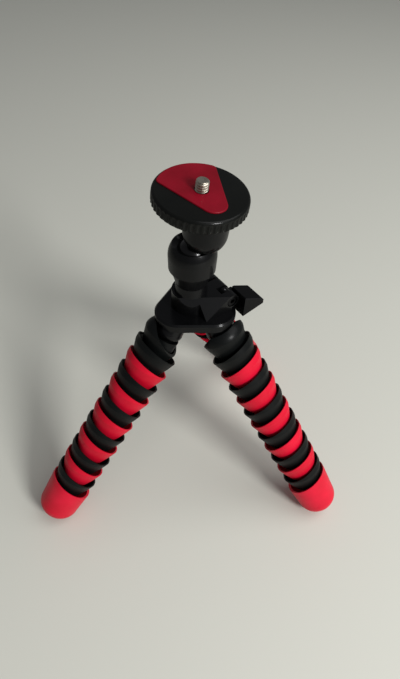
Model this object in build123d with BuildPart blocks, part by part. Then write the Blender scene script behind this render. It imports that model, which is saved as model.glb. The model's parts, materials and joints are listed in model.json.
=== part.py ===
"""Flexible table tripod: a small ball head on three bendable legs.

Millimetres, +Z up, standing on Z = 0 with its legs spread, as in use. The back leg
starts along +Y and is bent to the right over its first joints, and +X is to the right
for someone who looks at the lever side. The origin lies on the ground, in the middle
of the space that the tripod takes up.

Each leg is a chain of cups. A cup has a ball on a stem inside its mouth and a socket
in its floor. The ball snaps into the socket of the cup above.
"""
from build123d import *
from math import cos, pi, sin, sqrt, tan, radians
import os

os.makedirs("parts", exist_ok=True)

# Clearances
running_gap = 0.05          # radial, between a shaft and its bore
free_gap = 0.3              # between faces that pass each other
seat_gap = 0.1              # between a fastener or washer and its seat

# Stance
leg_azimuths = (-150.0, -30.0, 90.0)
leg_names = ("left", "right", "back")
splay = 34.8                # of each leg, from the vertical
leg_line_radius = 10.9      # where a leg's line crosses the height of the plate's arms
leg_turns = (0.0, 0.0, -8.0)    # turn of a leg about the vertical at each of its turned joints
turned_joints = 6           # from the base

# Leg cups
cup_count = 11              # below the shoulder cup
cup_pitch = 10.5
first_rim = 23.8            # along the leg's line, from the plate's arms to the first cup's rim
cup_radius = 14.0           # at the rim's middle
cup_wall = 1.2
cup_lip = 0.7               # the wall's thickness at the rim
cup_skirt = 5.5             # the wall is drawn this far above the rim's middle before it is cut
cup_waist = 12.85           # outside radius at the waist
cup_waist_drop = 4.0
cup_heel = 9.1              # outside radius where the floor begins
cup_heel_drop = 14.0
cup_depth = 15.4            # from the rim's middle to the underside of the floor
rim_slant = 16.0            # the rim's outer side stands higher
cup_heel_inset = 0.36       # the room inside is this much narrower than the wall asks, at the heel
cup_floor_inset = 1.92      # and at the floor
shoulder_scale = 0.94       # of the wall of the first cup, under the base
shoulder_slant = 38.0
shoulder_turns = (55.0, 35.0, 0.0)  # of the rim's high side about the leg's line, one for each leg
shoulder_hood = 2.2         # its wall is drawn in by this much above the rim's middle
shoulder_core_radius = 8.4  # its solid middle, around the socket
shoulder_core_drop = 0.9    # below the rim's middle, at the core's edge
shoulder_core_dish = 2.0
shoulder_core_flat = 4.8    # radius of the dish's flat floor

# Ball and socket of a leg joint
leg_ball_radius = 3.4
leg_ball_rise = 1.0         # the ball's middle lies this far above the rim's middle
stem_radius = 1.9
socket_wall = 1.15
socket_lip_radius = 2.95
socket_flare = 23.0         # half angle of the mouth, so that the stem can tilt

# Feet
foot_length = 28.0          # from the rim's middle to the tip
foot_radius = 12.9
foot_shoulder = 18.0        # where the taper ends
foot_tip_fillet = 9.5
foot_post_radius = 4.2

# Base plate and its arms
plate_corner_radius = 13.0
plate_corner_reach = 11.0
plate_thickness = 6.0
plate_drop = 1.2            # the plate's underside below the start of the legs' lines
plate_edge = 1.0
arm_top_radius = 7.2
arm_radius = 8.2
arm_belly = 9.0             # along the leg's line, where the arm is widest
arm_bulge = 1.2             # of its round end, outwards
arm_bulge_drop = 1.0        # and along the leg's line
arm_sink = 1.0              # the arm stops this far below the plate's top
arm_overrun = 12.0
shoulder_room = 5.9         # along the leg's line, where the plate's underside makes room for the shoulder

# Clamp housing
collar_offset = -2.6        # the head's axis, to the left of the plate's middle
collar_radius = 10.6
housing_height = 10.7
housing_turn = 33.0         # direction of the split lugs
lug_start = -1.5            # along the lugs, from the head's axis
lug_end = 20.0
lug_round = 4.25            # radius of the lugs' rounded ends, level with the housing's top
lug_back = 4.6              # across the lugs, to the face behind the split
lug_front = 17.3            # and to the face in front of it
split_width = 1.6
ramp_run = 15.5             # the front jaw slopes down towards the plate
ramp_depth = 9.3

# Clamp screw, washer and nut
clamp_screw_radius = 1.5
clamp_head_radius = 3.1
clamp_head_height = 2.4
clamp_head_sink = 0.3       # the head lies this far below the front jaw's face
clamp_head_edge = 0.3
clamp_socket_flats = 2.5
clamp_socket_depth = 1.6
clamp_washer_radius = 3.3
clamp_washer_thickness = 0.5
clamp_washer_play = 0.05    # under the screw's head
nut_flats = 5.5
nut_height = 2.2
nut_inset = 0.4

# Clamp lever
lever_hub_radius = 3.6
lever_hub_length = 4.4
lever_inner = 5.0           # from the clamp screw's axis to the near side of the handle
lever_reach = 13.7          # and to its far side
lever_back = 8.0            # across the lugs, to the hub's back face
lever_front = 21.8          # and to the handle's front end
lever_back_slope = 5.3
lever_front_slope = 5.0
lever_strap_rise = 1.2      # the strap between hub and handle, above the clamp screw's axis
lever_strap_reach = 6.0     # and from that axis into the handle
lever_rise = 2.8            # the handle's top above that axis
lever_drop = 10.2           # its underside below the axis, at the near side
lever_tip_drop = 0.4        # and at the far side
lever_corner = 1.4
lever_edge = 0.5
lever_pin_radius = 0.6
lever_pin_length = 6.6

# Base fasteners
base_screw_radius = 1.1
base_screw_head = 2.2
base_screw_ring = 8.8
base_screw_azimuths = (-80.0, 150.0)
base_screw_depth = 4.0

# Pan axle
pan_stem_radius = 7.0
pan_spigot_radius = 4.0
pan_web = 2.8
pan_washer_radius = 5.8
pan_washer_thickness = 1.0
pan_screw_radius = 1.95
pan_head_radius = 3.5
pan_head_height = 1.5
pan_screw_length = 9.0
pan_socket_flats = 2.5

# Ball head, heights above the plate's top
ball_height = 33.7
ball_radius = 9.0
ball_post_radius = 3.2
cup_liner_wall = 1.15
goblet_foot_radius = 9.0    # where it rests on the clamp housing
goblet_neck_height = 16.2
goblet_neck_radius = 8.6
goblet_brim_height = 25.8
goblet_brim_radius = 11.5
goblet_thread_radius = 11.4
ring_radius = 12.8
ring_mouth = 58.0           # half angle of the mouth

# Platform, measured along its own axis from the ball's middle
platform_lean = 5.5
platform_lean_azimuth = -47.0
hub_top = 31.3
hub_bowl = 15.5             # the height of the bowl's middle
hub_radius = 11.4
hub_top_radius = 11.8
hub_offset = 4.65
hub_gap = 0.6               # between the hub and the cover ring under it
hub_rim_radius = 12.5       # the hub's upper rim, in line with the platform
hub_rim_height = 2.0
ball_post_end = 21.0
screw_flange_radius = 5.5
screw_flange_thickness = 1.6
screw_shank_radius = 4.0
ring_thickness = 1.4
retaining_ring_radius = 8.0
thrust_washer_radius = 10.0
thrust_washer_thickness = 0.5
disc_radius = 23.0
disc_thickness = 6.5
disc_edge = 1.1
flute_count = 48
flute_radius = 1.3
flute_depth = 0.5
camera_thread_radius = 3.175
camera_thread_length = 5.2
camera_thread_tip = 0.6
camera_screw_neck = 2.8     # relief below the thread, level with the pad

# Rubber pad on the platform
pad_reach = 21.5
pad_corner_half = 14.8
pad_tip_radius = 6.5
pad_tip_middle = -10.6
pad_stretch = 1.3           # its wide corners are drawn this much further out and cut by its reach
pad_corner_round = 2.5
pad_recess = 1.0
pad_proud = 0.7
pad_edge = 0.5
pad_turn = 118.0

# Heights that follow from the legs
s_sin, s_cos = sin(radians(splay)), cos(radians(splay))
last_rim = first_rim + cup_count * cup_pitch
tip_along = last_rim + foot_length - foot_tip_fillet
tip_aside = foot_radius - foot_tip_fillet
line_height = s_cos * tip_along + s_sin * tip_aside + foot_tip_fillet
plate_bottom = line_height - plate_drop
plate_top = plate_bottom + plate_thickness
lug_z = housing_height - lug_round
housing_out = Axis((0, 0, 0), (cos(radians(housing_turn)), sin(radians(housing_turn)), 0))
bolt_along = lug_end - lug_round
first_joint = first_rim - cup_pitch - leg_ball_rise


def leg_walk(azimuth, along, turn):
    """The point that a leg's line has reached, from the tripod's middle, and the azimuth it then has."""
    point = Vector(cos(radians(azimuth)), sin(radians(azimuth)), 0) * leg_line_radius
    done = 0.0
    for joint in range(turned_joints):
        stop = first_joint + joint * cup_pitch
        if turn != 0 and along > stop:
            ahead = Vector(cos(radians(azimuth)) * s_sin, sin(radians(azimuth)) * s_sin, -s_cos)
            point += ahead * (stop - done)
            azimuth, done = azimuth + turn, stop
    ahead = Vector(cos(radians(azimuth)) * s_sin, sin(radians(azimuth)) * s_sin, -s_cos)
    return point + ahead * (along - done), azimuth


def leg_reach(azimuth, turn):
    """How far a leg's foot reaches towards the back or, below zero, towards the front."""
    tip, last_azimuth = leg_walk(azimuth, tip_along, turn)
    tilt = s_sin * sin(radians(last_azimuth))
    round_reach = sqrt(1 - tilt ** 2) * tip_aside + foot_tip_fillet
    return tip.Y + (round_reach if tip.Y > 0 else -round_reach)


# The middle of the standing space, from the reach of the back foot and of the front feet
reaches = [leg_reach(azimuth, turn) for azimuth, turn in zip(leg_azimuths, leg_turns)]
axis_y = -(max(reaches) + min(reaches)) / 2


def level(height, x=0.0, turn=0.0):
    """A level plane over the tripod's middle, with its X axis turned."""
    return Plane(
        origin=(x, axis_y, height), x_dir=(cos(radians(turn)), sin(radians(turn)), 0), z_dir=(0, 0, 1)
    )


def leg_place(azimuth, along, turn=0.0):
    """On a leg's line: local Z runs down the leg and local X points outwards."""
    point, azimuth = leg_walk(azimuth, along, turn)
    out = Vector(cos(radians(azimuth)), sin(radians(azimuth)), 0)
    down = out * s_sin - Vector(0, 0, s_cos)
    aside = out * s_cos + Vector(0, 0, s_sin)
    return Plane(origin=point + Vector(0, axis_y, line_height), x_dir=aside, z_dir=down)


def section(place):
    """The plane through a leg's line in which its round shapes are drawn, X out and Y down the leg."""
    return Plane(origin=place.origin, x_dir=place.x_dir, z_dir=place.x_dir.cross(place.z_dir))


def slanted(place, slant, turn=0.0):
    """The plane of a slanted rim, facing down the leg, with its high side turned about the leg's line."""
    a, b = radians(slant), radians(turn)
    high_side = place.x_dir * cos(b) + place.y_dir * sin(b)
    return Plane(origin=place.origin, z_dir=place.z_dir * cos(a) + high_side * sin(a))


def axis_of(place):
    return Axis(place.origin, place.z_dir)


def flare(height):
    """Radius of the socket's mouth at a height below the ball's middle."""
    lip = sqrt((leg_ball_radius + running_gap) ** 2 - socket_lip_radius ** 2)
    return socket_lip_radius + (height - lip) * tan(radians(socket_flare))


socket_radius = leg_ball_radius + running_gap + socket_wall


def socket_cut(depth):
    """The hollow of a socket, drawn from its middle: a sphere and the flared mouth below it."""
    with BuildSketch(mode=Mode.PRIVATE) as hollow:
        with BuildLine():
            lip = sqrt((leg_ball_radius + running_gap) ** 2 - socket_lip_radius ** 2)
            top = -(leg_ball_radius + running_gap)
            Line((0, depth), (0, top))
            JernArc((0, top), (1, 0), leg_ball_radius + running_gap, 90)
            RadiusArc(
                (leg_ball_radius + running_gap, 0), (socket_lip_radius, lip), -(leg_ball_radius + running_gap)
            )
            Line((socket_lip_radius, lip), (flare(depth), depth))
            Line((flare(depth), depth), (0, depth))
        make_face()
    return hollow.sketch


def cup_side(radius, hood):
    """The line of a cup's side above the rim's middle, drawn in by the hood."""
    if hood > 0:
        RadiusArc((radius - hood, -cup_skirt), (radius, 0), -(hood ** 2 + cup_skirt ** 2) / (2 * hood))
    else:
        Line((radius, -cup_skirt), (radius, 0))


def cup_wall_shape(scale, hood):
    """A cup's outside, drawn as a round solid from above the rim down to the floor."""
    with BuildSketch(mode=Mode.PRIVATE) as shape:
        with BuildLine():
            Line((0, -cup_skirt), (cup_radius * scale - hood, -cup_skirt))
            cup_side(cup_radius * scale, hood)
            ThreePointArc(
                (cup_radius * scale, 0), (cup_waist * scale, cup_waist_drop), (cup_heel * scale, cup_heel_drop)
            )
            Line((cup_heel * scale, cup_heel_drop), (cup_heel * scale - cup_wall, cup_depth))
            Line((cup_heel * scale - cup_wall, cup_depth), (0, cup_depth))
            Line((0, cup_depth), (0, -cup_skirt))
        make_face()
    return shape.sketch


def cup_room_shape(scale, hood):
    """The room inside a cup, open above the rim."""
    mouth = cup_radius * scale - cup_lip
    heel = cup_heel * scale - cup_wall - cup_heel_inset
    floor = cup_heel * scale - cup_wall - cup_floor_inset
    with BuildSketch(mode=Mode.PRIVATE) as room:
        with BuildLine():
            Line((0, -2 * cup_skirt), (mouth - hood, -2 * cup_skirt))
            Line((mouth - hood, -2 * cup_skirt), (mouth - hood, -cup_skirt))
            cup_side(mouth, hood)
            ThreePointArc(
                (mouth, 0), (cup_waist * scale - cup_wall, cup_waist_drop), (heel, cup_heel_drop - cup_wall)
            )
            Line((heel, cup_heel_drop - cup_wall), (floor, cup_depth - cup_wall))
            Line((floor, cup_depth - cup_wall), (0, cup_depth - cup_wall))
            Line((0, cup_depth - cup_wall), (0, -2 * cup_skirt))
        make_face()
    return room.sketch


def shoulder_core_shape():
    """The solid middle of a shoulder cup, dished at its top for the arm's round end."""
    with BuildSketch(mode=Mode.PRIVATE) as core:
        with BuildLine():
            Polyline(
                (0, shoulder_core_drop + shoulder_core_dish),
                (shoulder_core_flat, shoulder_core_drop + shoulder_core_dish),
                (shoulder_core_radius, shoulder_core_drop),
                (shoulder_core_radius, cup_heel_drop - cup_wall),
                (0, cup_heel_drop - cup_wall),
                (0, shoulder_core_drop + shoulder_core_dish),
            )
        make_face()
    return core.sketch


def leg_cup(place, label, scale=1.0, slant=rim_slant, turn=0.0, hood=0.0, core=False):
    """A cup with its socket in the floor and its ball in the mouth."""
    socket_at = cup_pitch - leg_ball_rise
    with BuildPart(place) as cup:
        with BuildSketch(section(place)):
            add(cup_wall_shape(scale, hood))
            add(cup_room_shape(scale, hood), mode=Mode.SUBTRACT)
        revolve(axis=axis_of(place))
        split(bisect_by=slanted(place, slant, turn), keep=Keep.TOP)
        if core:
            with BuildSketch(section(place)):
                add(shoulder_core_shape())
            revolve(axis=axis_of(place))
        with Locations((0, 0, socket_at)):
            Sphere(socket_radius)
            Cylinder(socket_radius, cup_depth - socket_at, align=(Align.CENTER, Align.CENTER, Align.MIN))
        with Locations((0, 0, -leg_ball_rise)):
            Sphere(leg_ball_radius)
            Cylinder(
                stem_radius,
                cup_pitch - socket_radius + socket_wall / 2,
                align=(Align.CENTER, Align.CENTER, Align.MIN),
            )
        with BuildSketch(section(place)):
            with Locations((0, socket_at)):
                add(socket_cut(2 * socket_radius))
        revolve(axis=axis_of(place), mode=Mode.SUBTRACT)
    cup.part.label = label
    return cup.part


def foot(place, label):
    """The end of a leg: a long cup, closed and rounded at its tip."""
    with BuildPart(place) as end:
        with BuildSketch(section(place)):
            with BuildLine():
                Line((0, -cup_skirt), (cup_radius, -cup_skirt))
                Line((cup_radius, -cup_skirt), (cup_radius, 0))
                Line((cup_radius, 0), (foot_radius, foot_shoulder))
                Line((foot_radius, foot_shoulder), (foot_radius, foot_length - foot_tip_fillet))
                JernArc((foot_radius, foot_length - foot_tip_fillet), (0, 1), foot_tip_fillet, 90)
                Line((foot_radius - foot_tip_fillet, foot_length), (0, foot_length))
                Line((0, foot_length), (0, -cup_skirt))
            make_face()
            add(cup_room_shape(1.0, 0.0), mode=Mode.SUBTRACT)
        revolve(axis=axis_of(place))
        split(bisect_by=slanted(place, rim_slant), keep=Keep.TOP)
        with Locations((0, 0, -leg_ball_rise)):
            Sphere(leg_ball_radius)
            Cylinder(stem_radius, cup_depth, align=(Align.CENTER, Align.CENTER, Align.MIN))
        with Locations((0, 0, cup_depth - cup_wall)):
            Cone(
                foot_post_radius,
                stem_radius,
                cup_depth / 2,
                rotation=(180, 0, 0),
                align=(Align.CENTER, Align.CENTER, Align.MIN),
            )
    end.part.label = label
    return end.part


# Base plate: a rounded triangle with a moulded arm and socket for each leg
housing_level = level(plate_top, collar_offset, housing_turn)
with BuildPart() as base_lower:
    with BuildSketch(level(plate_bottom)) as outline:
        with PolarLocations(plate_corner_reach, 3, start_angle=90):
            Circle(plate_corner_radius)
        make_hull()
    extrude(amount=plate_thickness)
    rims = base_lower.edges().filter_by(Plane.XY)
    chamfer(rims, plate_edge)
    for azimuth in leg_azimuths:
        with Locations(leg_place(azimuth, shoulder_room)):
            Cylinder(
                cup_radius,
                cup_depth,
                align=(Align.CENTER, Align.CENTER, Align.MIN),
                mode=Mode.SUBTRACT,
            )
    for azimuth in leg_azimuths:
        place = leg_place(azimuth, 0)
        tip = first_joint + sqrt(socket_radius ** 2 - (socket_radius - socket_wall / 2) ** 2)
        with BuildPart(mode=Mode.PRIVATE) as arm:
            with BuildSketch(section(place)):
                with BuildLine():
                    Line((0, -arm_overrun), (arm_top_radius, -arm_overrun))
                    Line((arm_top_radius, -arm_overrun), (arm_top_radius, 0))
                    Line((arm_top_radius, 0), (arm_radius, arm_belly))
                    ThreePointArc(
                        (arm_radius, arm_belly),
                        (
                            (arm_radius + socket_radius) / 2 + arm_bulge,
                            (arm_belly + tip) / 2 + arm_bulge_drop,
                        ),
                        (socket_radius, tip),
                    )
                    Line((socket_radius, tip), (0, tip))
                    Line((0, tip), (0, -arm_overrun))
                make_face()
            revolve(axis=axis_of(place))
            split(bisect_by=level(plate_top - arm_sink), keep=Keep.BOTTOM)
        add(arm.part)
    for azimuth in leg_azimuths:
        place = leg_place(azimuth, first_joint)
        with BuildSketch(section(place)):
            add(socket_cut(2 * socket_radius))
        revolve(axis=axis_of(place), mode=Mode.SUBTRACT)
    with Locations(level(plate_bottom, collar_offset)):
        Cylinder(
            pan_spigot_radius + running_gap,
            2 * plate_thickness,
            align=(Align.CENTER, Align.CENTER, Align.CENTER),
            mode=Mode.SUBTRACT,
        )
        Cylinder(
            pan_washer_radius + free_gap,
            plate_thickness - pan_web,
            align=(Align.CENTER, Align.CENTER, Align.MIN),
            mode=Mode.SUBTRACT,
        )
    with Locations(level(plate_bottom, collar_offset)):
        for azimuth in base_screw_azimuths:
            with PolarLocations(base_screw_ring, 1, start_angle=azimuth):
                Cylinder(
                    base_screw_radius + seat_gap,
                    3 * plate_thickness,
                    mode=Mode.SUBTRACT,
                )
                Cone(
                    base_screw_head + seat_gap,
                    base_screw_radius + seat_gap,
                    base_screw_head - base_screw_radius,
                    align=(Align.CENTER, Align.CENTER, Align.MIN),
                    mode=Mode.SUBTRACT,
                )
base_lower.part.label = "base_lower"
export_step(base_lower.part, "parts/base_lower.step")


# Clamp housing: a split collar for the head, with two jaws drawn together by the clamp screw
screw_line = Plane(
    origin=housing_level.from_local_coords(Vector(bolt_along, 0, lug_z)),
    x_dir=housing_level.x_dir,
    z_dir=housing_level.y_dir,
)
ramp_top = housing_level.from_local_coords(Vector(lug_start, ramp_depth - lug_front, housing_height))
ramp_low = housing_level.from_local_coords(Vector(lug_start, -lug_front, 0))
ramp_end = housing_level.from_local_coords(Vector(lug_start + ramp_run, -lug_front, housing_height))
ramp_normal = (ramp_end - ramp_low).cross(ramp_top - ramp_low)
hub_slot = lever_hub_length + 2 * free_gap
head_start = clamp_head_height + clamp_head_sink - lug_front
jaw_plane = Plane(
    origin=housing_level.origin, x_dir=housing_level.x_dir, z_dir=-housing_level.y_dir
)
with BuildPart() as base_upper:
    with Locations(housing_level):
        Cylinder(collar_radius, housing_height, align=(Align.CENTER, Align.CENTER, Align.MIN))
    with BuildSketch(jaw_plane):
        with Locations((bolt_along, lug_z)):
            Circle(lug_round)
        with Locations((lug_start, 0)):
            Rectangle(bolt_along - lug_start, housing_height, align=(Align.MIN, Align.MIN))
    extrude(amount=lug_front)
    with BuildSketch(jaw_plane):
        with Locations((bolt_along, lug_z)):
            Circle(lug_round)
        Rectangle(bolt_along, housing_height, align=(Align.MIN, Align.MIN))
    extrude(amount=-lug_back)
    split(bisect_by=Plane(origin=ramp_low, z_dir=ramp_normal), keep=Keep.BOTTOM)
    with Locations(housing_level):
        Cylinder(
            pan_stem_radius + running_gap,
            3 * housing_height,
            mode=Mode.SUBTRACT,
        )
        Box(
            2 * lug_end,
            split_width,
            3 * housing_height,
            align=(Align.MIN, Align.CENTER, Align.CENTER),
            mode=Mode.SUBTRACT,
        )
        with Locations((bolt_along - lug_round - free_gap, free_gap - lever_back, 0)):
            Box(
                lug_end,
                hub_slot,
                3 * housing_height,
                align=(Align.MIN, Align.MAX, Align.CENTER),
                mode=Mode.SUBTRACT,
            )
    with Locations(screw_line):
        Cylinder(clamp_screw_radius + seat_gap, 3 * lug_front, mode=Mode.SUBTRACT)
        with Locations((0, 0, head_start)):
            Cylinder(
                clamp_washer_radius + seat_gap,
                clamp_washer_thickness,
                align=(Align.CENTER, Align.CENTER, Align.MIN),
                mode=Mode.SUBTRACT,
            )
            Cylinder(
                clamp_head_radius + free_gap,
                2 * clamp_head_height,
                align=(Align.CENTER, Align.CENTER, Align.MAX),
                mode=Mode.SUBTRACT,
            )
    with BuildSketch(screw_line.offset(lug_back)):
        RegularPolygon((nut_flats + 2 * seat_gap) / 2, 6, major_radius=False)
    extrude(amount=-(nut_height + nut_inset), mode=Mode.SUBTRACT)
    with Locations(level(plate_top, collar_offset)):
        for azimuth in base_screw_azimuths:
            with PolarLocations(base_screw_ring, 1, start_angle=azimuth):
                Cylinder(
                    base_screw_radius,
                    base_screw_depth + seat_gap,
                    align=(Align.CENTER, Align.CENTER, Align.MIN),
                    mode=Mode.SUBTRACT,
                )
base_upper.part.label = "base_upper"
export_step(base_upper.part, "parts/base_upper.step")

# Screws that hold the housing to the plate, from below
with BuildPart() as base_screws:
    with Locations(level(plate_bottom, collar_offset)):
        for azimuth in base_screw_azimuths:
            with PolarLocations(base_screw_ring, 1, start_angle=azimuth):
                Cylinder(
                    base_screw_radius,
                    plate_thickness + base_screw_depth,
                    align=(Align.CENTER, Align.CENTER, Align.MIN),
                )
                Cone(
                    base_screw_head,
                    base_screw_radius,
                    base_screw_head - base_screw_radius,
                    align=(Align.CENTER, Align.CENTER, Align.MIN),
                )
                Box(
                    2 * base_screw_radius,
                    base_screw_radius / 2,
                    base_screw_head - base_screw_radius,
                    mode=Mode.SUBTRACT,
                )
base_screws.part.label = "base_screws"
export_step(base_screws.part, "parts/base_screws.step")

# Clamp screw, turned by the lever, with its washer on the front jaw and its nut in the back jaw
with BuildPart() as clamp_screw:
    with Locations(screw_line):
        with Locations((0, 0, head_start)):
            Cylinder(
                clamp_head_radius,
                clamp_head_height,
                align=(Align.CENTER, Align.CENTER, Align.MAX),
            )
            Cylinder(
                clamp_screw_radius,
                lug_back - nut_inset - head_start,
                align=(Align.CENTER, Align.CENTER, Align.MIN),
            )
        with Locations((0, 0, -lever_back - lever_hub_length / 2)):
            Cylinder(
                lever_pin_radius,
                4 * clamp_screw_radius,
                rotation=(90, 0, 0),
                mode=Mode.SUBTRACT,
            )
    with BuildSketch(screw_line.offset(head_start - clamp_head_height)):
        RegularPolygon(clamp_socket_flats / 2, 6, major_radius=False)
    extrude(amount=clamp_socket_depth, mode=Mode.SUBTRACT)
    rim = clamp_screw.faces().sort_by(Axis(screw_line.origin, screw_line.z_dir))[0].outer_wire().edges()
    chamfer(rim, clamp_head_edge)
clamp_screw.part.label = "clamp_screw"
export_step(clamp_screw.part, "parts/clamp_screw.step")

with BuildPart() as clamp_washer:
    with Locations(screw_line.offset(head_start + clamp_washer_thickness)):
        Cylinder(
            clamp_washer_radius,
            clamp_washer_thickness - clamp_washer_play,
            align=(Align.CENTER, Align.CENTER, Align.MAX),
        )
        Cylinder(clamp_screw_radius + running_gap, 4 * clamp_washer_thickness, mode=Mode.SUBTRACT)
clamp_washer.part.label = "clamp_washer"
export_step(clamp_washer.part, "parts/clamp_washer.step")

with BuildPart() as clamp_nut:
    with BuildSketch(screw_line.offset(lug_back - nut_inset)):
        RegularPolygon(nut_flats / 2, 6, major_radius=False)
        Circle(clamp_screw_radius + running_gap, mode=Mode.SUBTRACT)
    extrude(amount=-nut_height)
clamp_nut.part.label = "clamp_nut"
export_step(clamp_nut.part, "parts/clamp_nut.step")

# Clamp lever: a hub on the clamp screw and a broad wedge of a handle beside the jaws' end
handle_top = plate_top + lug_z + lever_rise
with BuildPart() as clamp_lever:
    with BuildSketch(level(handle_top, collar_offset, housing_turn)) as handle:
        with BuildLine():
            near, far = bolt_along + lever_inner, bolt_along + lever_reach
            Line((near, -lever_back), (far, -lever_back - lever_back_slope))
            Line((far, -lever_back - lever_back_slope), (far, -lever_front - lever_front_slope))
            Line((far, -lever_front - lever_front_slope), (near, -lever_front))
            Line((near, -lever_front), (near, -lever_back))
        make_face()
        fillet(handle.vertices().sort_by(housing_out)[-2:], lever_corner)
    extrude(amount=-lever_rise - lever_drop)
    with BuildSketch(Plane(origin=screw_line.origin, x_dir=screw_line.x_dir, z_dir=-screw_line.z_dir)):
        with BuildLine():
            Polyline(
                (lever_inner, -lever_drop),
                (lever_reach, -lever_tip_drop),
                (lever_reach, -lever_drop),
                (lever_inner, -lever_drop),
            )
        make_face()
    extrude(amount=lever_front + 2 * lever_front_slope, mode=Mode.SUBTRACT)
    chamfer(clamp_lever.faces().sort_by(Axis.Z)[-1].edges(), lever_edge)
    with Locations(screw_line):
        with Locations((0, 0, -lever_back)):
            Cylinder(lever_hub_radius, lever_hub_length, align=(Align.CENTER, Align.CENTER, Align.MAX))
            with Locations((0, -lever_strap_rise, 0)):
                Box(
                    lever_strap_reach,
                    lever_strap_rise + lever_hub_radius,
                    lever_hub_length,
                    align=(Align.MIN, Align.MIN, Align.MAX),
                )
        Cylinder(clamp_screw_radius + running_gap, 4 * lug_front, mode=Mode.SUBTRACT)
        with Locations((0, 0, -lever_back - lever_hub_length / 2)):
            Cylinder(
                lever_pin_radius,
                4 * lever_hub_radius,
                rotation=(90, 0, 0),
                mode=Mode.SUBTRACT,
            )
clamp_lever.part.label = "clamp_lever"
export_step(clamp_lever.part, "parts/clamp_lever.step")

with BuildPart() as lever_pin:
    with Locations(screw_line):
        with Locations((0, 0, -lever_back - lever_hub_length / 2)):
            Cylinder(lever_pin_radius, lever_pin_length, rotation=(90, 0, 0))
lever_pin.part.label = "lever_pin"
export_step(lever_pin.part, "parts/lever_pin.step")

# Friction cup of the head: it turns in the collar on its stem and carries the ball
head_level = level(plate_top, collar_offset)
head_section = Plane(origin=head_level.origin, x_dir=(1, 0, 0), z_dir=(0, -1, 0))
head_axis = Axis(head_level.origin, (0, 0, 1))
liner_outer = ball_radius + running_gap + cup_liner_wall
goblet_top = ball_height - free_gap
stem_start = seat_gap
with BuildPart() as goblet:
    with BuildSketch(head_section):
        with BuildLine():
            Polyline(
                (0, -pan_web - seat_gap),
                (pan_spigot_radius, -pan_web - seat_gap),
                (pan_spigot_radius, stem_start),
                (pan_stem_radius, stem_start),
                (pan_stem_radius, housing_height),
                (goblet_foot_radius, housing_height),
                (goblet_neck_radius, goblet_neck_height),
                (goblet_brim_radius, goblet_brim_height),
                (goblet_thread_radius, goblet_brim_height),
                (goblet_thread_radius, goblet_top),
                (0, goblet_top),
                (0, -pan_web - seat_gap),
            )
        make_face()
    revolve(axis=head_axis)
    with Locations(level(plate_top + ball_height, collar_offset)):
        Sphere(liner_outer, mode=Mode.SUBTRACT)
    with Locations(level(plate_top - pan_web - seat_gap, collar_offset)):
        Cylinder(
            pan_screw_radius,
            pan_screw_length,
            align=(Align.CENTER, Align.CENTER, Align.MIN),
            mode=Mode.SUBTRACT,
        )
goblet.part.label = "goblet"
export_step(goblet.part, "parts/goblet.step")

with BuildPart() as cup_liner:
    with Locations(level(plate_top + ball_height, collar_offset)):
        Sphere(liner_outer)
        Sphere(ball_radius + running_gap, mode=Mode.SUBTRACT)
    split(bisect_by=level(plate_top + goblet_top), keep=Keep.BOTTOM)
cup_liner.part.label = "cup_liner"
export_step(cup_liner.part, "parts/cup_liner.step")

# Cover ring, screwed on the friction cup over the ball
mouth_sin, mouth_cos = sin(radians(ring_mouth)), cos(radians(ring_mouth))
with BuildPart() as ball_ring:
    with BuildSketch(head_section):
        with BuildLine():
            Line((goblet_thread_radius, goblet_brim_height), (ring_radius - free_gap, goblet_brim_height))
            Line((ring_radius - free_gap, goblet_brim_height), (ring_radius, ball_height))
            RadiusArc(
                (ring_radius, ball_height),
                (ring_radius * mouth_sin, ball_height + ring_radius * mouth_cos),
                -ring_radius,
            )
            Line(
                (ring_radius * mouth_sin, ball_height + ring_radius * mouth_cos),
                (
                    (ball_radius + running_gap) * mouth_sin,
                    ball_height + (ball_radius + running_gap) * mouth_cos,
                ),
            )
            RadiusArc(
                (
                    (ball_radius + running_gap) * mouth_sin,
                    ball_height + (ball_radius + running_gap) * mouth_cos,
                ),
                (ball_radius + running_gap, ball_height),
                ball_radius + running_gap,
            )
            Line((ball_radius + running_gap, ball_height), (ball_radius + running_gap, goblet_top))
            Line((ball_radius + running_gap, goblet_top), (goblet_thread_radius, goblet_top))
            Line((goblet_thread_radius, goblet_top), (goblet_thread_radius, goblet_brim_height))
        make_face()
    revolve(axis=head_axis)
ball_ring.part.label = "ball_ring"
export_step(ball_ring.part, "parts/ball_ring.step")

# Washer and screw that hold the head down in the plate
with BuildPart() as pan_washer:
    with Locations(level(plate_top - pan_web - seat_gap, collar_offset)):
        Cylinder(pan_washer_radius, pan_washer_thickness, align=(Align.CENTER, Align.CENTER, Align.MAX))
        Cylinder(pan_screw_radius + running_gap, 3 * pan_washer_thickness, mode=Mode.SUBTRACT)
pan_washer.part.label = "pan_washer"
export_step(pan_washer.part, "parts/pan_washer.step")

head_under = plate_top - pan_web - seat_gap - pan_washer_thickness
with BuildPart() as pan_screw:
    with Locations(level(head_under, collar_offset)):
        Cylinder(pan_head_radius, pan_head_height, align=(Align.CENTER, Align.CENTER, Align.MAX))
        Cylinder(
            pan_screw_radius,
            pan_screw_length + pan_washer_thickness - free_gap,
            align=(Align.CENTER, Align.CENTER, Align.MIN),
        )
    with BuildSketch(level(head_under - pan_head_height, collar_offset)):
        RegularPolygon(pan_socket_flats / 2, 6, major_radius=False)
    extrude(amount=pan_head_height - free_gap, mode=Mode.SUBTRACT)
pan_screw.part.label = "pan_screw"
export_step(pan_screw.part, "parts/pan_screw.step")

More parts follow.
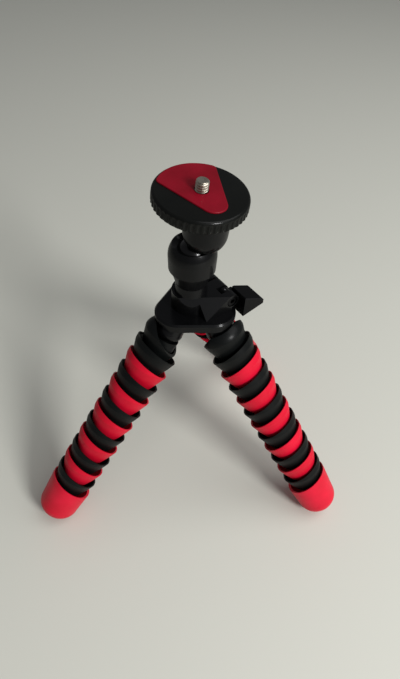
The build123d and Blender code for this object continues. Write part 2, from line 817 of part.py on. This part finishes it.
# The platform's own axis, leaning, through the middle of the ball
lean_a = radians(platform_lean_azimuth)
lean_sin, lean_cos = sin(radians(platform_lean)), cos(radians(platform_lean))
lean_axis = Vector(cos(lean_a) * lean_sin, sin(lean_a) * lean_sin, lean_cos)
ball_middle = Vector(collar_offset, axis_y, plate_top + ball_height)


def head_place(along):
    """On the platform's axis, at a distance from the ball's middle."""
    side = Vector(0, 1, 0).cross(lean_axis)
    return Plane(origin=ball_middle + lean_axis * along, x_dir=side, z_dir=lean_axis)


head_line = Axis(ball_middle, lean_axis)
with BuildPart() as ball_stem:
    with Locations(head_place(0)):
        Sphere(ball_radius)
        Cylinder(ball_post_radius, ball_post_end, align=(Align.CENTER, Align.CENTER, Align.MIN))
ball_stem.part.label = "ball_stem"
export_step(ball_stem.part, "parts/ball_stem.step")

# Hub under the platform: a bowl, a little to one side of the ball's axis
hub_place = Plane(
    origin=ball_middle + head_place(0).x_dir * hub_offset, x_dir=head_place(0).x_dir, z_dir=lean_axis
)
ring_floor = hub_top - ring_thickness
flange_top = ring_floor - free_gap
well_floor = flange_top - screw_flange_thickness - free_gap
with BuildPart() as platform_hub:
    with BuildSketch(section(hub_place)):
        with BuildLine():
            RadiusArc((0, hub_bowl - hub_radius), (hub_radius, hub_bowl), -hub_radius)
            Line((hub_radius, hub_bowl), (hub_top_radius, hub_top))
            Line((hub_top_radius, hub_top), (0, hub_top))
            Line((0, hub_top), (0, hub_bowl - hub_radius))
        make_face()
    revolve(axis=Axis(hub_place.origin, lean_axis))
    with Locations(head_place(hub_top)):
        Cylinder(hub_rim_radius, hub_rim_height, align=(Align.CENTER, Align.CENTER, Align.MAX))
    with Locations(head_place(0)):
        Sphere(ring_radius + hub_gap, mode=Mode.SUBTRACT)
        Cylinder(
            ball_post_radius,
            ball_post_end,
            align=(Align.CENTER, Align.CENTER, Align.MIN),
            mode=Mode.SUBTRACT,
        )
    with Locations(head_place(well_floor)):
        Cylinder(
            screw_flange_radius + free_gap,
            disc_thickness,
            align=(Align.CENTER, Align.CENTER, Align.MIN),
            mode=Mode.SUBTRACT,
        )
    with Locations(head_place(ring_floor)):
        Cylinder(
            retaining_ring_radius,
            disc_thickness,
            align=(Align.CENTER, Align.CENTER, Align.MIN),
            mode=Mode.SUBTRACT,
        )
platform_hub.part.label = "platform_hub"
export_step(platform_hub.part, "parts/platform_hub.step")

with BuildPart() as retaining_ring:
    with Locations(head_place(ring_floor)):
        Cylinder(retaining_ring_radius, ring_thickness, align=(Align.CENTER, Align.CENTER, Align.MIN))
        Cylinder(screw_shank_radius + running_gap, 3 * ring_thickness, mode=Mode.SUBTRACT)
retaining_ring.part.label = "retaining_ring"
export_step(retaining_ring.part, "parts/retaining_ring.step")

with BuildPart() as thrust_washer:
    with Locations(head_place(hub_top)):
        Cylinder(
            thrust_washer_radius,
            thrust_washer_thickness,
            align=(Align.CENTER, Align.CENTER, Align.MIN),
        )
        Cylinder(screw_shank_radius + free_gap, 3 * thrust_washer_thickness, mode=Mode.SUBTRACT)
thrust_washer.part.label = "thrust_washer"
export_step(thrust_washer.part, "parts/thrust_washer.step")

# Camera screw: its flange is held down in the hub, and the platform disc is pressed on its shank
disc_bottom = hub_top + free_gap
disc_top = disc_bottom + disc_thickness
pocket_floor = disc_top - pad_recess
pad_top = disc_top + pad_proud
with BuildPart() as camera_screw:
    with Locations(head_place(flange_top)):
        Cylinder(
            screw_flange_radius, screw_flange_thickness, align=(Align.CENTER, Align.CENTER, Align.MAX)
        )
        Cylinder(
            screw_shank_radius,
            pocket_floor - flange_top,
            align=(Align.CENTER, Align.CENTER, Align.MIN),
        )
        Cylinder(
            camera_screw_neck,
            pad_top - flange_top,
            align=(Align.CENTER, Align.CENTER, Align.MIN),
        )
    with Locations(head_place(pad_top)):
        Cylinder(
            camera_thread_radius,
            camera_thread_length,
            align=(Align.CENTER, Align.CENTER, Align.MIN),
        )
    chamfer(camera_screw.edges().sort_by(head_line)[-1], camera_thread_tip)
camera_screw.part.label = "camera_screw"
export_step(camera_screw.part, "parts/camera_screw.step")


def pad_outline(grow):
    """Rounded three-cornered outline of the pad, wide towards the back of the platform."""
    chord = sqrt(pad_reach ** 2 - pad_corner_half ** 2)
    with BuildSketch(mode=Mode.PRIVATE) as pad:
        with Locations((pad_tip_middle, 0)):
            Circle(pad_tip_radius)
        with Locations(
            (pad_tip_middle + (chord - pad_tip_middle) * pad_stretch, pad_corner_half * pad_stretch),
            (pad_tip_middle + (chord - pad_tip_middle) * pad_stretch, -pad_corner_half * pad_stretch),
        ):
            Circle(pad_edge)
        make_hull()
        Circle(pad_reach, mode=Mode.INTERSECT)
        fillet(pad.vertices().sort_by(Axis.X)[-2:], pad_corner_round)
        if grow > 0:
            offset(amount=grow)
    return pad.sketch


def pad_place(along):
    """The pad's plane, turned about the platform's axis."""
    flat = head_place(along)
    turn = radians(pad_turn)
    return Plane(origin=flat.origin, x_dir=flat.x_dir * cos(turn) + flat.y_dir * sin(turn), z_dir=flat.z_dir)


with BuildPart() as platform_disc:
    with Locations(head_place(disc_bottom)):
        Cylinder(disc_radius, disc_thickness, align=(Align.CENTER, Align.CENTER, Align.MIN))
    rims = platform_disc.edges().filter_by(GeomType.CIRCLE)
    chamfer(rims, disc_edge)
    with Locations(head_place(disc_bottom)):
        with PolarLocations(disc_radius + flute_radius - flute_depth, flute_count):
            Cylinder(flute_radius, 3 * disc_thickness, mode=Mode.SUBTRACT)
        Cylinder(
            thrust_washer_radius + free_gap,
            2 * (thrust_washer_thickness - free_gap),
            mode=Mode.SUBTRACT,
        )
        Cylinder(screw_shank_radius, 3 * disc_thickness, mode=Mode.SUBTRACT)
    with BuildSketch(pad_place(pocket_floor)):
        add(pad_outline(seat_gap))
    extrude(amount=pad_recess + pad_proud, mode=Mode.SUBTRACT)
platform_disc.part.label = "platform_disc"
export_step(platform_disc.part, "parts/platform_disc.step")

with BuildPart() as rubber_pad:
    with BuildSketch(pad_place(pocket_floor)):
        add(pad_outline(0))
    extrude(amount=pad_recess + pad_proud)
    top = rubber_pad.faces().sort_by(head_line)[-1].edges()
    fillet(top, pad_edge)
    with Locations(head_place(pocket_floor)):
        Cylinder(camera_thread_radius + free_gap, 4 * pad_proud + 4 * pad_recess, mode=Mode.SUBTRACT)
rubber_pad.part.label = "rubber_pad"
export_step(rubber_pad.part, "parts/rubber_pad.step")

# Legs
for azimuth, turn, high_side, name in zip(leg_azimuths, leg_turns, shoulder_turns, leg_names):
    shoulder = leg_cup(
        leg_place(azimuth, first_rim - cup_pitch, turn),
        f"{name}_shoulder",
        scale=shoulder_scale,
        slant=shoulder_slant,
        turn=high_side,
        hood=shoulder_hood,
        core=True,
    )
    export_step(shoulder, f"parts/{name}_shoulder.step")
    for number in range(cup_count):
        cup = leg_cup(
            leg_place(azimuth, first_rim + number * cup_pitch, turn), f"{name}_cup_{number + 1:02d}"
        )
        export_step(cup, f"parts/{name}_cup_{number + 1:02d}.step")
    end = foot(leg_place(azimuth, last_rim, turn), f"{name}_foot")
    export_step(end, f"parts/{name}_foot.step")
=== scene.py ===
import bpy
import json
from math import cos, pi, radians, sin
from mathutils import Matrix, Vector


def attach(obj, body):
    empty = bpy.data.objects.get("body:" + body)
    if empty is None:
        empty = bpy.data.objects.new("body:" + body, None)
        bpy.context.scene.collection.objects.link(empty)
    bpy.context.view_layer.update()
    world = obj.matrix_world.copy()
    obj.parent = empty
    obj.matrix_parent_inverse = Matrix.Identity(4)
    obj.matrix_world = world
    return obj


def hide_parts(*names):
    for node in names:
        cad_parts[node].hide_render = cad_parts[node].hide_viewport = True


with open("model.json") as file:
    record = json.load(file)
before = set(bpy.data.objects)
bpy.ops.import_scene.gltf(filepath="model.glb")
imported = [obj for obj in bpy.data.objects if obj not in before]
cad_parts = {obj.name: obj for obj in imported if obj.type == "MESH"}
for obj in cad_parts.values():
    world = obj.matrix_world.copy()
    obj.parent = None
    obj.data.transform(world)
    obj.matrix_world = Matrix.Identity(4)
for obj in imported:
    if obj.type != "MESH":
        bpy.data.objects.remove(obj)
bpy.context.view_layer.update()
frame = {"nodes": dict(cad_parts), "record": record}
nodes = frame["nodes"]
scene = bpy.context.scene
scene.view_settings.view_transform = "Standard"

# Camera: the photograph's place and angle, for a frame 400 wide and 679 high
FRAME_WIDTH = 400
FOCAL_PIXELS = 508.5
SENSOR_WIDTH = 36.0
BASE_AXIS_Y = -0.01484
CAMERA_PLACE = Vector((-0.01692, -0.20721 + BASE_AXIS_Y, 0.3407))
LOOK = Vector((0.06909, 0.6754, -0.7342))
FRAME_RIGHT = Vector((0.9976, -0.04982, 0.04804))

forward = LOOK.normalized()
right = (FRAME_RIGHT - forward * FRAME_RIGHT.dot(forward)).normalized()
up = right.cross(forward)
camera_data = bpy.data.cameras.new("camera")
camera_data.sensor_fit = "HORIZONTAL"
camera_data.sensor_width = SENSOR_WIDTH
camera_data.lens = FOCAL_PIXELS * SENSOR_WIDTH / FRAME_WIDTH
camera = bpy.data.objects.new("camera", camera_data)
scene.collection.objects.link(camera)
camera.matrix_world = Matrix(
    (
        (right.x, up.x, -forward.x, CAMERA_PLACE.x),
        (right.y, up.y, -forward.y, CAMERA_PLACE.y),
        (right.z, up.z, -forward.z, CAMERA_PLACE.z),
        (0, 0, 0, 1),
    )
)
scene.camera = camera

# Materials: noise scales are per metre, and stops are the noise values where a colour or grey starts and ends
MOULD_CLOUD = 60.0
MOULD_PATCH = 140.0
MOULD_RELIEF = 0.0001
STEEL_CLOUD = 300.0
STEEL_PATCH = 700.0
STEEL_GRAIN = 4000
STEEL_RELIEF = 0.00005
STEEL_BUMP = 0.2
GLOSSY_GRAIN = 2600
RUBBER_GRAIN = 2200
CLOUD_STOPS = (0.3, 0.7)
PATCH_STOPS = (0.3, 0.75)


def node_material(name):
    """A new material with its shader, ready for a node tree."""
    material = bpy.data.materials.new(name)
    material.use_nodes = True
    tree = material.node_tree
    return material, tree, tree.nodes["Principled BSDF"]


def noise(tree, scale, detail, rough=0.55):
    """Noise in the piece's own space, so that it rides with the piece."""
    place = tree.nodes.new("ShaderNodeTexCoord")
    texture = tree.nodes.new("ShaderNodeTexNoise")
    texture.inputs["Scale"].default_value = scale
    texture.inputs["Detail"].default_value = detail
    texture.inputs["Roughness"].default_value = rough
    tree.links.new(place.outputs["Object"], texture.inputs["Vector"])
    return texture.outputs["Fac"]


def ramp(tree, value, stops, colours):
    """Runs from one colour to another between two stops of a value."""
    node = tree.nodes.new("ShaderNodeValToRGB")
    for element, stop, colour in zip(node.color_ramp.elements, stops, colours):
        element.position = stop
        element.color = (*colour, 1)
    tree.links.new(value, node.inputs["Fac"])
    return node.outputs["Color"]


def uneven_roughness(tree, shader, scale, detail, roughness):
    """Patches of lower and higher roughness."""
    greys = [(value,) * 3 for value in roughness]
    patch = ramp(tree, noise(tree, scale, detail), PATCH_STOPS, greys)
    tree.links.new(patch, shader.inputs["Roughness"])


def relief(tree, shader, height, strength, distance):
    """A fine relief on the surface."""
    bump = tree.nodes.new("ShaderNodeBump")
    bump.inputs["Strength"].default_value = strength
    bump.inputs["Distance"].default_value = distance
    tree.links.new(height, bump.inputs["Height"])
    tree.links.new(bump.outputs["Normal"], shader.inputs["Normal"])


def moulded(name, dark, light, roughness, grain, bump, specular=0.5, coat=0.0, coat_rough=0.2):
    """Moulded plastic or rubber: clouded colour, uneven roughness, a fine grain and a thin skin."""
    material, tree, shader = node_material(name)
    cloud = ramp(tree, noise(tree, MOULD_CLOUD, detail=3.0), CLOUD_STOPS, (dark, light))
    tree.links.new(cloud, shader.inputs["Base Color"])
    uneven_roughness(tree, shader, MOULD_PATCH, detail=5.0, roughness=roughness)
    relief(tree, shader, noise(tree, grain, detail=3.0, rough=0.6), bump, MOULD_RELIEF)
    shader.inputs["Specular IOR Level"].default_value = specular
    shader.inputs["Coat Weight"].default_value = coat
    shader.inputs["Coat Roughness"].default_value = coat_rough
    return material


def metal(name, dark, light, roughness):
    """Plated or turned steel with fine uneven polish."""
    material, tree, shader = node_material(name)
    shader.inputs["Metallic"].default_value = 1.0
    cloud = ramp(tree, noise(tree, STEEL_CLOUD, detail=4.0), CLOUD_STOPS, (dark, light))
    tree.links.new(cloud, shader.inputs["Base Color"])
    uneven_roughness(tree, shader, STEEL_PATCH, detail=4.0, roughness=roughness)
    relief(tree, shader, noise(tree, STEEL_GRAIN, detail=2.0), STEEL_BUMP, STEEL_RELIEF)
    return material


by_slot = {
    "body_black": moulded(
        "body_black", (0.0012, 0.0013, 0.0015), (0.0024, 0.0024, 0.0028), roughness=(0.4, 0.55),
        grain=GLOSSY_GRAIN, bump=0.2, specular=0.06, coat=0.26, coat_rough=0.15,
    ),
    "disc_black": moulded(
        "disc_black", (0.0016, 0.002, 0.0016), (0.003, 0.0034, 0.0028), roughness=(0.45, 0.6),
        grain=GLOSSY_GRAIN, bump=0.3, specular=0.06, coat=0.2, coat_rough=0.14,
    ),
    "cup_black": moulded(
        "cup_black", (0.0018, 0.0023, 0.0023), (0.0032, 0.0038, 0.0038), roughness=(0.5, 0.65),
        grain=RUBBER_GRAIN, bump=0.3, specular=0.08, coat=0.12, coat_rough=0.26,
    ),
    "cup_red": moulded(
        "cup_red", (0.5, 0.0022, 0.017), (0.64, 0.004, 0.028), roughness=(0.5, 0.66),
        grain=RUBBER_GRAIN, bump=0.26, specular=0.12, coat=0.12, coat_rough=0.32,
    ),
    "foot_red": moulded(
        "foot_red", (0.52, 0.0035, 0.02), (0.66, 0.006, 0.032), roughness=(0.48, 0.62),
        grain=RUBBER_GRAIN, bump=0.26, specular=0.14, coat=0.14, coat_rough=0.3,
    ),
    "pad_red": moulded(
        "pad_red", (0.15, 0.0012, 0.007), (0.21, 0.0025, 0.012), roughness=(0.5, 0.66),
        grain=RUBBER_GRAIN, bump=0.3, specular=0.08, coat=0.12, coat_rough=0.25,
    ),
    "ball_black": moulded(
        "ball_black", (0.0015, 0.0015, 0.0017), (0.0025, 0.0025, 0.0028), roughness=(0.3, 0.4),
        grain=GLOSSY_GRAIN, bump=0.05, specular=0.12, coat=0.4, coat_rough=0.12,
    ),
    "nylon": moulded(
        "nylon", (0.6, 0.59, 0.55), (0.7, 0.69, 0.65), roughness=(0.4, 0.5), grain=GLOSSY_GRAIN, bump=0.1
    ),
    "steel": metal("steel", (0.42, 0.42, 0.43), (0.58, 0.58, 0.59), roughness=(0.25, 0.4)),
    "steel_bright": metal("steel_bright", (0.36, 0.33, 0.27), (0.54, 0.5, 0.42), roughness=(0.24, 0.4)),
    "steel_dark": metal("steel_dark", (0.006, 0.006, 0.007), (0.012, 0.012, 0.013), roughness=(0.3, 0.45)),
}
slot_of = {part["node"]: part["material_slot"] for part in frame["record"]["subparts"]}
for name, piece in nodes.items():
    piece.data.materials.clear()
    piece.data.materials.append(by_slot[slot_of[name]])

# Pieces turned round the platform's axis: their heights are from the middle of the camera thread
MM = 0.001
mount = next(m for m in frame["record"]["mounts"] if m["name"] == "camera_thread")
thread_axis = Vector(mount["axis"]).normalized()
head_turn = Vector((0, 0, 1)).rotation_difference(thread_axis).to_matrix().to_4x4()
head_matrix = Matrix.Translation(mount["pos_m"]) @ head_turn


def ring_mesh(name, rings, steps):
    """A closed mesh through rings of points, pinched to one point at each end."""
    points = [(0.0, 0.0, rings[0][0])]
    for height, radii in rings[1:-1]:
        for k, radius in enumerate(radii):
            a = 2 * pi * k / steps
            points.append((radius * cos(a), radius * sin(a), height))
    points.append((0.0, 0.0, rings[-1][0]))
    last = len(points) - 1
    rows = len(rings) - 2
    faces = []
    for k in range(steps):
        n = (k + 1) % steps
        faces.append((0, 1 + n, 1 + k))
        faces.append((1 + (rows - 1) * steps + k, 1 + (rows - 1) * steps + n, last))
        for row in range(rows - 1):
            low, high = 1 + row * steps, 1 + (row + 1) * steps
            faces.append((low + k, low + n, high + n, high + k))
    mesh = bpy.data.meshes.new(name)
    mesh.from_pydata(points, [], faces)
    mesh.update()
    return mesh


def head_piece(name, mesh, node, slot, smooth_angle):
    """Puts a turned piece on the platform's axis, in place of a CAD node."""
    mesh.transform(head_matrix)
    piece = bpy.data.objects.new(name, mesh)
    scene.collection.objects.link(piece)
    with bpy.context.temp_override(object=piece, selected_editable_objects=[piece]):
        bpy.ops.object.shade_smooth_by_angle(angle=radians(smooth_angle))
    piece.data.materials.append(by_slot[slot])
    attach(piece, "platform")
    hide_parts(node)


# Camera screw: the turned thread over its shank and flange, in place of the plain solid
THREAD_PITCH = 1.27 * MM
THREAD_DEPTH = 0.72 * MM
THREAD_RISE_END = 0.34
THREAD_CREST_END = 0.5
THREAD_FALL_END = 0.84
TIP_CHAMFER = 0.6 * MM
ANGLE_STEPS = 72
PITCH_STEPS = 14
THREAD_SMOOTH_ANGLE = 35
FLANGE_RADIUS = 5.5
SHANK_RADIUS = 4.0
NECK_RADIUS = 2.8
FLANGE_BOTTOM = -13.1
FLANGE_TOP = -11.5
SHANK_TOP = -4.0
NECK_TOP = -2.3
SHANK = (
    (0.0, FLANGE_BOTTOM),
    (FLANGE_RADIUS, FLANGE_BOTTOM),
    (FLANGE_RADIUS, FLANGE_TOP),
    (SHANK_RADIUS, FLANGE_TOP),
    (SHANK_RADIUS, SHANK_TOP),
    (NECK_RADIUS, SHANK_TOP),
    (NECK_RADIUS, NECK_TOP),
)
thread_radius = mount["dims"]["r_mm"] * MM
thread_length = mount["dims"]["length_mm"] * MM + TIP_CHAMFER
thread_start = -mount["dims"]["length_mm"] * MM / 2


def thread_shape(phase):
    """Height of the thread over its root, from 0 to 1, across one pitch."""
    phase %= 1.0
    if phase < THREAD_RISE_END:
        return phase / THREAD_RISE_END
    if phase < THREAD_CREST_END:
        return 1.0
    if phase < THREAD_FALL_END:
        return 1.0 - (phase - THREAD_CREST_END) / (THREAD_FALL_END - THREAD_CREST_END)
    return 0.0


def screw_rings():
    """Height and radii of each ring of the camera screw, from the flange up to the tip."""
    rings = [(z * MM, [r * MM] * ANGLE_STEPS) for r, z in SHANK]
    count = int(thread_length / THREAD_PITCH * PITCH_STEPS)
    for i in range(count + 1):
        climb = thread_length * i / count
        limit = thread_radius - max(0.0, climb - thread_length + TIP_CHAMFER)
        radii = []
        for k in range(ANGLE_STEPS):
            phase = climb / THREAD_PITCH - k / ANGLE_STEPS
            radius = thread_radius - THREAD_DEPTH * (1.0 - thread_shape(phase))
            radii.append(min(radius, limit))
        rings.append((thread_start + climb, radii))
    rings.append((thread_start + thread_length, [0.0] * ANGLE_STEPS))
    return rings


thread_mesh = ring_mesh("camera_screw_turned", screw_rings(), ANGLE_STEPS)
head_piece("camera_screw_turned", thread_mesh, "camera_screw", "steel_bright", THREAD_SMOOTH_ANGLE)

# Platform disc: its fluted side runs out under a smooth rounded shoulder
DISC_RADIUS = 23.0
DISC_BOTTOM = -9.5
DISC_TOP = -3.0
SHOULDER_HEIGHT = 2.1
SHOULDER_INSET = 1.5
FOOT_CHAMFER = 0.8
FOOT_FLUTE_SHARE = 0.2
FLUTES = 48
FLUTE_RADIUS = 1.3
FLUTE_DEPTH = 0.5
FLUTE_FADE = 0.9
FLUTE_STEPS = 14
SHOULDER_STEPS = 10
SIDE_STEPS = 6      # rings up the side, which keep the shoulder's shading off it
DISC_SMOOTH_ANGLE = 38
side_low = DISC_BOTTOM + FOOT_CHAMFER
side_high = DISC_TOP - SHOULDER_HEIGHT


def flute(k):
    """Depth of the fluted side at an angle step, from its outer radius."""
    part = (k % FLUTE_STEPS) / FLUTE_STEPS - 0.5
    aside = part * 2 * pi * DISC_RADIUS / FLUTES
    if abs(aside) >= FLUTE_RADIUS:
        return 0.0
    floor_radius = DISC_RADIUS + FLUTE_RADIUS - FLUTE_DEPTH - (FLUTE_RADIUS ** 2 - aside ** 2) ** 0.5
    return max(0.0, DISC_RADIUS - floor_radius)


def disc_rings():
    """Height and radii of each ring of the disc, from its underside up to its top."""
    steps = FLUTES * FLUTE_STEPS
    depths = [flute(k) for k in range(steps)]
    side = [(DISC_BOTTOM, FOOT_CHAMFER, FOOT_FLUTE_SHARE), (side_low, 0.0, 1.0)]
    for i in range(1, SIDE_STEPS + 1):
        side.append((side_low + (side_high - side_low) * i / SIDE_STEPS, 0.0, 1.0))
    for i in range(1, SHOULDER_STEPS + 1):
        a = pi / 2 * i / SHOULDER_STEPS
        climb = SHOULDER_HEIGHT * sin(a)
        share = max(0.0, (FLUTE_FADE - climb) / FLUTE_FADE)
        side.append((side_high + climb, SHOULDER_INSET * (1 - cos(a)), share))
    rings = [(DISC_BOTTOM * MM, [0.0] * steps)]
    for z, inset, share in side:
        rings.append((z * MM, [(DISC_RADIUS - inset - share * depth) * MM for depth in depths]))
    rings.append((DISC_TOP * MM, [0.0] * steps))
    return rings


disc_mesh = ring_mesh("platform_disc_moulded", disc_rings(), FLUTES * FLUTE_STEPS)
head_piece("platform_disc_moulded", disc_mesh, "platform_disc", "disc_black", DISC_SMOOTH_ANGLE)

# Floor: a plain pale table
FLOOR_HALF = 3
FLOOR_COLOUR = (0.56, 0.56, 0.5, 1)
FLOOR_ROUGHNESS = 0.6
floor_corners = [
    (-FLOOR_HALF, -FLOOR_HALF, 0),
    (FLOOR_HALF, -FLOOR_HALF, 0),
    (FLOOR_HALF, FLOOR_HALF, 0),
    (-FLOOR_HALF, FLOOR_HALF, 0),
]
floor_mesh = bpy.data.meshes.new("floor")
floor_mesh.from_pydata(floor_corners, [], [(0, 1, 2, 3)])
floor = bpy.data.objects.new("floor", floor_mesh)
scene.collection.objects.link(floor)
floor_material, _, floor_shader = node_material("floor")
floor_shader.inputs["Base Color"].default_value = FLOOR_COLOUR
floor_shader.inputs["Roughness"].default_value = FLOOR_ROUGHNESS
floor.data.materials.append(floor_material)

# Lights: a small window at the front right, a wide soft one high on the right, and a weak pale world
WORLD_COLOUR = (0.9, 0.92, 0.95, 1)
WORLD_STRENGTH = 0.22


def area_light(name, place, target, size, power):
    """A round lamp turned to a target, with its size in metres and its power in watts."""
    data = bpy.data.lights.new(name, "AREA")
    data.shape = "DISK"
    data.size = size
    data.energy = power
    lamp = bpy.data.objects.new(name, data)
    scene.collection.objects.link(lamp)
    lamp.location = place
    lamp.rotation_euler = (Vector(target) - Vector(place)).to_track_quat("-Z", "Y").to_euler()


area_light("window", place=(0.75, -0.95, 0.85), target=(0, 0, 0.1), size=0.42, power=18)
area_light("ceiling", place=(0.8, -0.1, 1.5), target=(0, 0, 0), size=1.5, power=13)

world = bpy.data.worlds.new("world")
scene.world = world
world.use_nodes = True
background = world.node_tree.nodes["Background"]
background.inputs["Color"].default_value = WORLD_COLOUR
background.inputs["Strength"].default_value = WORLD_STRENGTH
